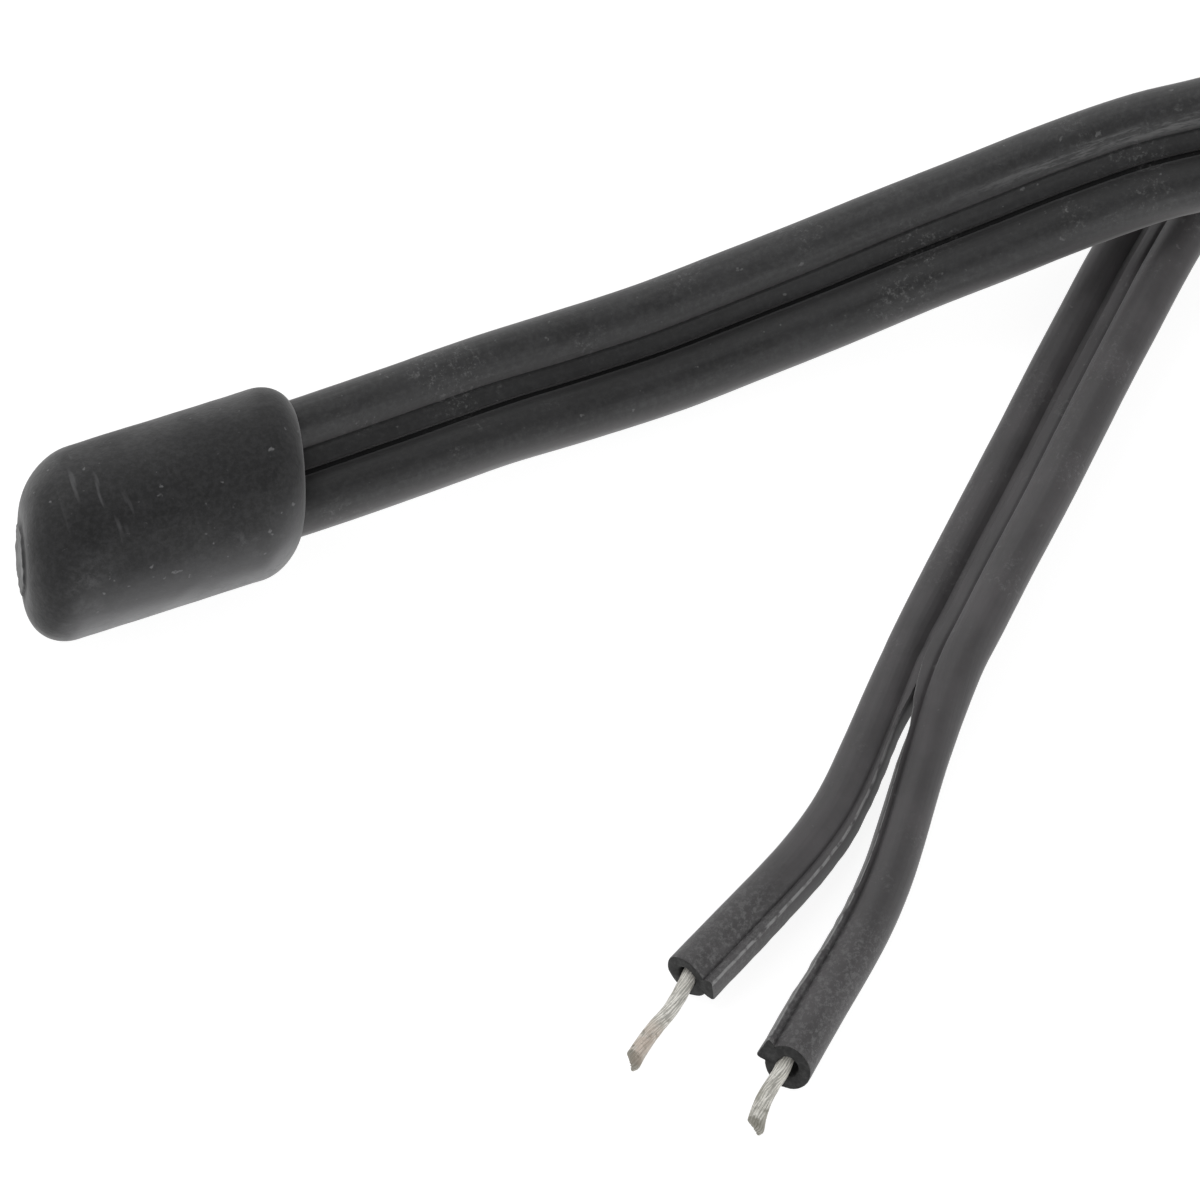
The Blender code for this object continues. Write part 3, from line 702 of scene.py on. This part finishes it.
def cable_rubber():
    """Extruded insulation: satin, streaked, scuffed, with a dust sheen, and paler towards its far end; with
    painted shade in its grooves and painted light from below on its lower faces.
    """
    made, tree, shader = new_material("extruded_insulation", 0.55)
    dusty(shader)
    place = coordinates(tree, "Object")
    along, round_it = along_and_round(tree)
    toward_far_end = spread(tree, along, *FAR_END_STRETCH)
    streaks = noise_mask(tree, coordinates(tree, "UV", STREAK_SCALE), CABLE_STREAKS)
    cloud = noise_mask(tree, place, CABLE_CLOUD)
    dark = blend_colour(tree, toward_far_end, NEAR_DARK, FAR_DARK)
    pale = blend_colour(tree, toward_far_end, NEAR_PALE, FAR_PALE)
    colour = blend_colour(tree, cloud, dark, pale)
    colour = painted(tree, colour, streaks, STREAK_PAINT)
    colour = painted(tree, colour, noise_mask(tree, place, CABLE_GRAIN), CABLE_GRAIN_PAINT)

    # painted shade: the rib, its lee and its grooves get a darker colour and less specular, for the shade
    # between the lobes, mostly on the stretch nearer the head
    rib = times(tree, band(tree, round_it, *RIB_BAND), ranged(tree, toward_far_end, 0.45, 0.10))
    lee = times(tree, band(tree, round_it, *LEE_BAND), spread(tree, toward_far_end, 0.0, 0.3, 0.8, 0.0))
    groove = largest(tree, *[band(tree, round_it, *edges) for edges in GROOVE_BANDS])
    groove = times(tree, groove, spread(tree, toward_far_end, 0.0, 0.3, 1.0, 0.0))
    painted_shade = largest(tree, rib, lee, groove)
    colour = painted(tree, colour, painted_shade, GROOVE_SHADE_PAINT)
    tree.links.new(ranged(tree, painted_shade, 0.42, 0.24), shader.inputs["Specular IOR Level"])
    # painted light: lower faces paler and the lowest with a pale rim, as if lit by and reflecting the white
    # floor
    colour = painted(tree, colour, lower_side(tree, 0.40), CABLE_FLOOR_LIGHT_PAINT)
    colour = painted(tree, colour, lower_side(tree, 0.84), CABLE_RIM_LIGHT_PAINT)

    # scuffs: chips in patches, one rubbed stretch of the outgoing cable, and nicks at the cut ends
    chips = times(tree, noise_mask(tree, place, CABLE_PATCHES), noise_mask(tree, place, CABLE_CHIPS))
    rubbed = times(tree, band(tree, round_it, *RUBBED_BAND), band(tree, along, *RUBBED_STRETCH))
    rubbed = times(tree, rubbed, noise_mask(tree, coordinates(tree, "UV", RUB_SCALE), CABLE_RUBS))
    nicked = times(tree, spread(tree, along, *NICKED_STRETCH), noise_mask(tree, place, CABLE_NICKS))
    scuffs = largest(tree, chips, rubbed, nicked)
    colour = painted(tree, colour, scuffs, SCUFF_PAINT)
    torn = largest(tree, *[band(tree, round_it, *edges) for edges in TORN_BANDS])
    torn = times(tree, torn, spread(tree, along, *TORN_STRETCH), noise_mask(tree, place, CABLE_TEARS))
    colour = painted(tree, colour, torn, TORN_PAINT)
    colour = painted(tree, colour, noise_mask(tree, place, CABLE_SPECKS), CABLE_SPECK_PAINT)

    tree.links.new(colour, shader.inputs["Base Color"])
    worn = largest(tree, times(tree, cloud, 0.4), scuffs)
    tree.links.new(ranged(tree, worn, 0.52, 0.72), shader.inputs["Roughness"])
    lines = bump(tree, shader, streaks, 0.00001, 0.45)
    coarse = noise_bump(tree, shader, place, CABLE_RELIEF, lines)
    bump(tree, shader, scuffs, 0.00001, 0.6, coarse)
    return made


def cut_rubber():
    """The rough, dark face where the insulation was cut."""
    made, tree, shader = new_material("cut_rubber", 0.75)
    place = coordinates(tree, "Object")
    grain = noise_mask(tree, place, CUT_GRAIN)
    tree.links.new(blend_colour(tree, grain, CUT_DARK, CUT_PALE), shader.inputs["Base Color"])
    noise_bump(tree, shader, place, CUT_RELIEF)
    return made


def tinned_strands(name="tinned_strands", worn_from=0.62, worn=(0.62, 0.52, 0.44)):
    """Tinned copper: silvery, with a worn tint from a share of its length on, and a dull dark end."""
    made, tree, shader = new_material(name, 0.42, 0.25)
    place = coordinates(tree, "Object")
    share, round_it = along_and_round(tree)
    colour = blend_colour(tree, noise_mask(tree, place, WIRE_CLOUD), WIRE_BRIGHT, WIRE_GREY)
    lines = noise_mask(tree, coordinates(tree, "UV", WIRE_LINES_SCALE), WIRE_LINES)
    colour = painted(tree, colour, lines, WIRE_LINE_PAINT)
    # painted shade: the fused core, which shows between the strands, is darker
    colour = painted(tree, colour, spread(tree, round_it, *BETWEEN_STRANDS), STRAND_GAP_SHADE_PAINT)
    tint = spread(tree, share, worn_from - 0.12, worn_from + 0.12)
    tint = times(tree, tint, noise_mask(tree, place, WIRE_TINT, 0.15, 0.75))
    colour = blend_colour(tree, tint, colour, worn)
    grime = noise_mask(tree, place, WIRE_GRIME)
    grime = times(tree, grime, spread(tree, share, 0.20, 0.75, 0.35, 1.0))
    end = spread(tree, maths(tree, "ADD", share, times(tree, grime, 0.12)), 0.88, 0.97)
    dark = largest(tree, times(tree, grime, GRIME_SHARE), times(tree, end, END_SHARE))
    colour = blend_colour(tree, dark, colour, WIRE_DARK)
    tree.links.new(colour, shader.inputs["Base Color"])
    tree.links.new(ranged(tree, dark, 0.36, 0.62), shader.inputs["Roughness"])
    noise_bump(tree, shader, place, WIRE_RELIEF)
    return made


def tie_plastic():
    made, tree, shader = new_material("tie_plastic", 0.42)
    place = coordinates(tree, "Object")
    cloud = noise_mask(tree, place, TIE_CLOUD)
    tree.links.new(blend_colour(tree, cloud, TIE_DARK, TIE_PALE), shader.inputs["Base Color"])
    tree.links.new(ranged(tree, cloud, 0.36, 0.55), shader.inputs["Roughness"])
    noise_bump(tree, shader, place, TIE_RELIEF)
    return made


def plain_finish(name, first, second, scale, roughness):
    """A clouded finish for the pieces inside the head."""
    made, tree, shader = new_material(name, roughness)
    place = coordinates(tree, "Object")
    cloud = noise_mask(tree, place, (scale, 3.0, 0.6, 0.35, 0.70))
    tree.links.new(blend_colour(tree, cloud, first, second), shader.inputs["Base Color"])
    noise_bump(tree, shader, place, (scale * 4.0, 2.0, 0.5, 0.00001, 0.4))
    return made


# ---- the cable

def lobe_outline(radius, top, tip, valley):
    """One round lobe with a ridge of half thickness top that ends at -tip, beyond a soft groove."""
    low = valley * radius
    end = 180.0 - math.degrees(math.asin(valley))
    edge = math.sqrt(radius**2 - low**2)
    turns = np.radians(np.linspace(-end, end, 31))
    lobe = [(radius * math.cos(t), radius * math.sin(t)) for t in turns]
    low = min(low, top)
    upper = [
        (-edge - 0.010, low - 0.010),
        (-edge - 0.035, low),
        (-edge - 0.070, low + 0.45 * (top - low)),
        (-edge - 0.110, low + 0.80 * (top - low)),
        (-edge - 0.160, top),
        (-(tip + edge + 0.16) / 2, top),
        (-tip + 0.050, top),
        (-tip + 0.015, top - 0.015),
        (-tip, top - 0.050),
    ]
    lower = [(x, -y) for x, y in reversed(upper)]
    return np.array(lobe + upper + [(-tip, 0.0)] + lower)


# The first and last lengths that show, and the steps between stations there and on the hidden rest
SEEN_FIRST, SEEN_LAST = 62.0, 46.0
FIRST_STEP, HIDDEN_STEP, LAST_STEP = 0.45, 1.2, 0.30
# The lobes' radius changes at these places near the head, before the parting and after it
NEAR_MARKS = (9.0, 12.0, 19.0, 25.0)
NARROWING, NARROWED = 30.0, 21.0
PARTED_MARKS = (4.0, 8.0)
LOBE_RADII = (0.92, 0.95, 0.95, 0.92, 0.92, 0.755, 0.74, 0.705, 0.745, 0.79)
# How far each torn ridge reaches from its core's centre: at the parting, at steps after it, at the end
TORN_STEPS = (1.2, 2.4, 3.0, 3.6, 6.0, 8.0, 11.0)
TORN_TIPS = {
    1: (1.21, 1.17, 0.99, 0.88, 0.85, 0.84, 0.86, 0.96, 1.02),
    -1: (1.21, 1.18, 0.99, 0.91, 0.88, 0.95, 1.03, 1.08, 1.10),
}
GROOVE_HEIGHTS = {1: (0.43, 0.43, 0.50), -1: (0.30, 0.30, 0.26)}
TORN_GROOVE_HEIGHT = 0.40
PARTED_RIB_SHARE = 0.60
# Stations smoothed where each core leaves the cable, and how many times
BLENDED_STATIONS, BLENDING_TIMES = 24, 8
PARTING_LEAD, PARTING_SPAN = 0.8, 1.4


def make_cable_path():
    """The cable's centre from the head's socket to where its cores part, with its roll."""
    route = OUTGOING_ROUTE + JOIN_ROUTE + winding_route() + LEAVE_ROUTE + RETURN_ROUTE
    dense = dense_route(route)
    total = distance_along(dense)[-1]
    places = np.concatenate([
        np.arange(0.0, SEEN_FIRST, FIRST_STEP),
        np.arange(SEEN_FIRST, total - SEEN_LAST, HIDDEN_STEP),
        np.arange(total - SEEN_LAST, total, LAST_STEP),
        [total],
    ])
    return evenly(dense, places), places


def sizes_along(places, part_at, end_at, side):
    """The lobes' radius and offset, the rib's half width, a torn ridge's tip, groove and rib heights."""
    narrowing, narrowed = part_at - NARROWING, part_at - NARROWED
    parted = [part_at + step for step in PARTED_MARKS]
    marks = [*NEAR_MARKS, narrowing, narrowed, part_at, *parted, end_at]
    together = [NEAR_MARKS[0], narrowing, narrowed]
    torn = [part_at] + [part_at + step for step in TORN_STEPS] + [end_at]
    return np.column_stack([
        np.interp(places, marks, LOBE_RADII),
        np.interp(places, together, [CORE_OFFSET, CORE_OFFSET, PARTING_OFFSET]),
        np.interp(places, together, [RIB_HALF_WIDTH, RIB_HALF_WIDTH, 0.0]),
        np.interp(places, torn, TORN_TIPS[side]),
        np.interp(places, together, GROOVE_HEIGHTS[side]),
        np.interp(places, together, [RIB_SHARE, RIB_SHARE, PARTED_RIB_SHARE]),
    ])


def core_line(path, places, route, side):
    """One core's centre, roll, distance along and sizes: beside the cable's centre, and then on its own."""
    own = dense_route(route)
    length = distance_along(own)[-1]
    steps = np.append(np.arange(0.0, length, LAST_STEP), length)
    own = evenly(own, steps)
    together = path.copy()
    _, across, _ = turned_frame(path)
    offsets = sizes_along(places, places[-1], places[-1] + length, side)[:, 1:2]
    together[:, :3] += side * offsets * across
    line = np.vstack([together, own])
    near = len(together) - BLENDED_STATIONS
    line[near:] = smoothed(line[near:], BLENDING_TIMES)
    start = places[-1] + np.linalg.norm(own[0, :3] - together[-1, :3])
    along = np.concatenate([places, start + steps])
    return line, along, sizes_along(along, places[-1], along[-1], side)


def cable_rings(line, along, sizes, side, part_at):
    """Sections of one core's insulation. Both cores share one ridge, which is torn in two as they part."""
    _, across, through = turned_frame(line)
    rings = []
    for i, place in enumerate(line[:, :3]):
        at = along[i]
        radius, offset, rib_half, torn_tip, valley, rib_share = sizes[i]
        if side > 0:
            whole = lobe_outline(radius, rib_share * radius, offset + rib_half, valley)
        else:
            whole = lobe_outline(radius, valley * radius - 0.004, offset, valley)
        torn = lobe_outline(radius, RIB_SHARE * radius, torn_tip, TORN_GROOVE_HEIGHT)
        parted = min(1.0, max(0.0, (at - (part_at - PARTING_LEAD)) / PARTING_SPAN))
        outline = whole * (1.0 - parted) + torn * parted
        outline *= 1.0 + 0.008 * rough((at, side, 0.0), 0.35, 3.0) + 0.005 * rough((at, side, 0.0), 1.3, 7.0)
        if parted > 0.0:
            edge = outline[:, 0] < -radius - 0.13
            outline[edge, 0] += parted * ripple((at, 0.0, side), (0.022, 2.2, 11.0), (0.016, 6.0, 5.0))
            outline[edge, 1] *= 1.0 - parted * 0.06 * rough((at, 4.0, side), 3.1, 2.0)
        rings.append(place + side * outline[:, :1] * across[i] + outline[:, 1:] * through[i])
    return rings


# The cut ends. Rim: stations from the end, and their shares of the cut's set back. Face: share of the
# section's size, depth and roughness. Hole: radius and depth.
CUT_BACK = 0.05
CUT_RIM = ((4, 0.2), (3, 0.45), (2, 0.7), (1, 1.0))
CUT_FACE = ((0.985, 0.035, 0.3), (0.955, 0.050, 1.0), (0.80, 0.055, 1.0), (0.62, 0.045, 1.0))
CUT_HOLE = ((0.38, 0.02), (0.345, -0.03), (0.335, -0.55), (0.28, -0.60))
CUT_SLANT_A, CUT_SLANT_B = 0.42, 0.14
TAIL_POINTS = 30


def cut_end(rings, along, line, slant):
    """An oblique cut end: its top set back, with a rounded rim, a rough face and a hole for the conductor."""
    forward = line[-1, :3] - line[-4, :3]
    forward /= np.linalg.norm(forward)
    for back, share in CUT_RIM:
        ring = rings[-back]
        height = ring[:, 2:3] - line[-back, 2]
        rings[-back] = ring - forward * share * (slant * height + CUT_BACK)
    centre = line[-1, :3] - forward * CUT_BACK
    spokes = rings[-1] - centre
    flat = spokes - (spokes @ forward)[:, None] * forward
    for share, depth, roughness in CUT_FACE:
        ring = centre + spokes * share + forward * depth
        uneven = np.array([ripple(p, (0.05, 2.4, 9.0), (0.03, 6.0, 4.0)) for p in ring])[:, None]
        rings.append(ring + forward * uneven * roughness)
    hole = spokes / np.linalg.norm(flat, axis=1)[:, None]
    for radius, depth in CUT_HOLE:
        rings.append(centre + hole * radius + forward * depth)
    for _ in CUT_FACE + CUT_HOLE:
        along = np.append(along, along[-1] + CUT_BACK)
    return rings, along


def make_cable(finish, cut_finish):
    path, places = make_cable_path()
    lines = []
    cut_faces = []
    shell = Shell()
    for route, side, slant, uv_shift in (
        (CORE_A_ROUTE, 1, CUT_SLANT_A, 0.0),
        (CORE_B_ROUTE, -1, CUT_SLANT_B, CORE_B_UV_SHIFT),
    ):
        line, along, sizes = core_line(path, places, route, side)
        rings = cable_rings(line, along, sizes, side, places[-1])
        whole = len(rings)
        rings, along = cut_end(rings, along, line, slant)
        first = len(shell.faces) + whole * len(rings[0])
        shell.loft(rings, along, uv_shift)
        cut_faces.extend(range(first, len(shell.faces) - 2))
        lines.append(line)
    item = shell.make("cable_insulation", finish)
    item.data.materials.append(cut_finish)
    for number in cut_faces:
        item.data.polygons[number].material_index = 1
    tails = [line[len(path):] for line in lines]
    tails = [evenly(tail, np.linspace(0.0, distance_along(tail)[-1], TAIL_POINTS)) for tail in tails]
    middle = (tails[0] + tails[1]) / 2
    first = np.searchsorted(places, CABLE_EXIT_X - path[0, 0])
    return item, np.vstack([path[first:, :3], middle[1:, :3]]) * MM


# ---- bare ends

STRANDS = 17
STRAND_STATIONS = 48
STRAND_RADIUS, STRAND_FLATNESS = 0.044, 0.9
STRAND_REACH, FUSED_REACH = 0.158, 0.188
STRAND_LAY = 8.0
STRAND_SIDES, FUSED_SIDES = 8, 24


def make_strands(name, route, finish, seed):
    """Fine strands twisted and tinned together, pressed flat and wider towards a worn, oblique tip."""
    dense = dense_route([(*p, 0.0) for p in route])
    length = distance_along(dense)[-1]
    places = np.linspace(0.0, length, STRAND_STATIONS)
    line = evenly(dense, places)
    forward, left, up = left_and_up(line)
    shares = places / length / MM
    shell = Shell()

    def centre_of(i, turn, reach):
        t = places[i] / length
        press = 0.10 + 0.36 * max(0.0, t - 0.45)
        close = 1.0 - 0.45 * max(0.0, (t - 0.96) / 0.04) ** 2
        wide, high = (1.22 + press * 1.15) * close, (1.18 - press) * close
        slant = 0.17 * math.cos(turn) * max(0.0, (t - 0.85) / 0.15)
        side = left[i] * math.cos(turn) * reach * wide + up[i] * math.sin(turn) * reach * high
        return line[i, :3] + side + forward[i] * slant

    for strand in range(STRANDS):
        start = math.tau * strand / STRANDS + seed
        rings = []
        for i in range(STRAND_STATIONS):
            loose = 0.012 * rough((i * 0.15, strand * 3.0, seed), 1.0, 7.0)
            wander = 0.20 * rough((i * 0.2, strand, seed), 1.0, 3.0)
            turn = start + math.tau * places[i] / STRAND_LAY + wander
            centre = centre_of(i, turn, STRAND_REACH + loose)
            rings.append([
                centre + (left[i] * math.cos(a) + up[i] * math.sin(a) * STRAND_FLATNESS) * STRAND_RADIUS
                for a in np.linspace(0.0, math.tau, STRAND_SIDES, endpoint=False)
            ])
        shell.loft(rings, shares)
    turns = np.linspace(0.0, math.tau, FUSED_SIDES, endpoint=False)
    fused = [[centre_of(i, turn, FUSED_REACH) for turn in turns] for i in range(STRAND_STATIONS)]
    shell.loft(fused, shares, FUSED_UV_SHIFT)
    return shell.make(name, finish, 60.0)


# ---- the head

def head_profile():
    """Radius and place along of the head's outline, from the middle of its nose to that of its rear."""
    gate = [(0.0, 0.04), (0.35, 0.045), (0.70, 0.03), (0.95, 0.01), (GATE_RADIUS, 0.005)]
    gate += [(GATE_RADIUS + 0.05, 0.03), (GATE_RADIUS + 0.10, 0.085)]
    profile = [(r, NOSE_X + x) for r, x in gate]
    nose_x, nose_r = NOSE_X + NOSE_CROWN + NOSE_EDGE, HEAD_RADIUS - NOSE_EDGE
    for t in np.radians(np.linspace(4.0, 90.0, 19)):
        profile.append((nose_r + NOSE_EDGE * math.sin(t), nose_x - NOSE_EDGE * math.cos(t)))
    rear_x, rear_r = REAR_X - REAR_EDGE, HEAD_RADIUS - REAR_EDGE
    for x in np.linspace(nose_x, rear_x, 44)[1:-1]:
        profile.append((HEAD_RADIUS, x))
    for t in np.radians(np.linspace(90.0, 6.0, 17)):
        profile.append((rear_r + REAR_EDGE * math.sin(t), rear_x + REAR_EDGE * math.cos(t)))
    return profile + [(1.45, REAR_X - 0.004), (1.20, REAR_X), (0.80, REAR_X), (0.0, REAR_X)]


def head_place(r, x, y, z):
    """Where a point of the profile comes, in metres, at the direction y, z round the head."""
    place = (x, r * y, r * z)
    uneven = ripple(place, (0.020, 0.45, 2.0), (0.007, 1.6, 5.0))
    # the cut gate is torn along the head, and its rim isn't quite round
    gate = max(0.0, 1.0 - max(0.0, r - GATE_RADIUS) / 0.2) * max(0.0, min(1.0, (-x - 4.25) / 0.3))
    pull = gate * ripple(place, (0.050, 1.5, 8.0), (0.030, 4.5, 3.0))
    on_rim = 0.8 < r < GATE_RADIUS + 0.2 and x < -4.4
    edge = 1.0 + (0.07 * rough((y * 2, z * 2, 0.0), 1.0, 6.0) if on_rim else 0.0)
    radius = (r + uneven * min(1.0, r)) * edge
    lean = HEAD_LEAN * radius * (LEAN_Y * y + LEAN_Z * z)
    return ((x + abs(pull) + lean) * MM, radius * y * MM, (HEAD_RADIUS + radius * z) * MM)


def make_head(finish):
    """The moulding: a turned body with slightly uneven faces, and a cut gate at the nose."""
    profile = head_profile()
    turns = [math.tau * k / HEAD_SIDES for k in range(HEAD_SIDES)]
    verts = [head_place(r, x, math.cos(turn), math.sin(turn)) for r, x in profile for turn in turns]
    faces = []
    for i in range(len(profile) - 1):
        a, b = i * HEAD_SIDES, (i + 1) * HEAD_SIDES
        for k in range(HEAD_SIDES):
            n = (k + 1) % HEAD_SIDES
            faces.append((a + k, a + n, b + n, b + k))
    item = object_from("head_moulding", verts, faces, finish, None, 50.0)
    # closes the profile's two ends on the axis
    cage = bmesh.new()
    cage.from_mesh(item.data)
    bmesh.ops.remove_doubles(cage, verts=cage.verts, dist=1e-7)
    bmesh.ops.recalc_face_normals(cage, faces=cage.faces)
    cage.to_mesh(item.data)
    cage.free()
    return item


# ---- the ties

def make_tie(name, near, far, finish):
    """A flat band round one side of the hank, with rounded corners, closed on top by a small clasp."""
    inner, outer, half = TIE_INNER_CORNER, TIE_OUTER_CORNER, TIE_HALF_WIDTH
    section = (
        (-half, inner),
        (-half, outer - TIE_BEVEL),
        (-half + TIE_BEVEL, outer),
        (half - TIE_BEVEL, outer),
        (half, outer - TIE_BEVEL),
        (half, inner),
    )
    corners = (
        (far - outer, TIE_LOW + outer, -90),
        (far - outer, TIE_HIGH - outer, 0),
        (near + outer, TIE_HIGH - outer, 90),
        (near + outer, TIE_LOW + outer, 180),
    )
    rings = []
    for cy, cz, start in corners:
        for turn in np.radians(np.linspace(start, start + 90, 9)):
            rings.append([(TIE_X + x, cy + r * math.cos(turn), cz + r * math.sin(turn)) for x, r in section])
    rings.append(rings[0])
    shell = Shell()
    shell.loft(rings, np.arange(len(rings)) * 0.8)
    y = near + TIE_ROOM + (far - near - 2 * TIE_ROOM) * CLASP_PLACE
    chamfer = CLASP_CHAMFER
    block = []
    for x, cut in ((-half, chamfer), (-half + chamfer, 0.0), (half - chamfer, 0.0), (half, chamfer)):
        wide, top = CLASP_HALF_LENGTH - cut, CLASP_HEIGHT - cut
        section = (
            (-wide, -0.10),
            (wide, -0.10),
            (wide, top - TIE_BEVEL),
            (wide - TIE_BEVEL, top),
            (TIE_BEVEL - wide, top),
            (-wide, top - TIE_BEVEL),
        )
        block.append([(TIE_X + x, y + dy, TIE_HIGH + dz) for dy, dz in section])
    shell.loft(block, np.arange(4) * 0.5)
    return shell.make(name, finish, 30.0)


# ---- all pieces together

# letter, route, seed of the twist, where its tint starts, and the tint
WIRES = (
    ("a", WIRE_A, 0.4, 0.50, (0.28, 0.27, 0.225)),
    ("b", WIRE_B, 1.9, 0.62, (0.56, 0.46, 0.38)),
)
BEAD_DARK, BEAD_PALE = (0.030, 0.034, 0.038), (0.060, 0.066, 0.072)
SLEEVE_DARK, SLEEVE_PALE = (0.70, 0.69, 0.64), (0.82, 0.81, 0.77)


def main():
    bpy.context.scene.view_settings.view_transform = "Standard"
    make_camera()
    make_world()
    for lamp in LAMPS:
        softbox(*lamp)
    make_floor()

    cable, centre = make_cable(cable_rubber(), cut_rubber())
    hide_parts("cable_outgoing", "cable_return", "cable_hank", "core_a", "core_b")

    for letter, route, seed, worn_from, worn in WIRES:
        finish = tinned_strands(f"tinned_strands_{letter}", worn_from, worn)
        wire = make_strands(f"strands_{letter}", route, finish, seed)
        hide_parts(f"bare_wire_{letter}")

    plastic = tie_plastic()
    inner = HANK_INNER_RADIUS - CORE_RADIUS
    outer = HANK_INNER_RADIUS + TURN_PITCH * HANK_TURNS + CORE_RADIUS
    for letter, side in (("a", 1), ("b", -1)):
        near, far = sorted((HANK_Y + side * inner, HANK_Y + side * outer))
        tie = make_tie(f"tie_{letter}", near - TIE_ROOM, far + TIE_ROOM, plastic)
        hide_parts(f"hank_tie_{letter}")

    head = make_head(head_rubber())
    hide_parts("sensor_head")

    tinned = tinned_strands()
    inside = {
        "thermistor_bead": plain_finish("potting_drop", BEAD_DARK, BEAD_PALE, 900.0, 0.25),
        "lead_sleeve": plain_finish("sleeve_white", SLEEVE_DARK, SLEEVE_PALE, 1200.0, 0.45),
        "thermistor_lead": tinned,
        "splice": tinned,
        "conductor_end": tinned,
    }
    for name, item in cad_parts.items():
        for start, finish in inside.items():
            if name.startswith(start):
                item.data.materials.clear()
                item.data.materials.append(finish)


main()
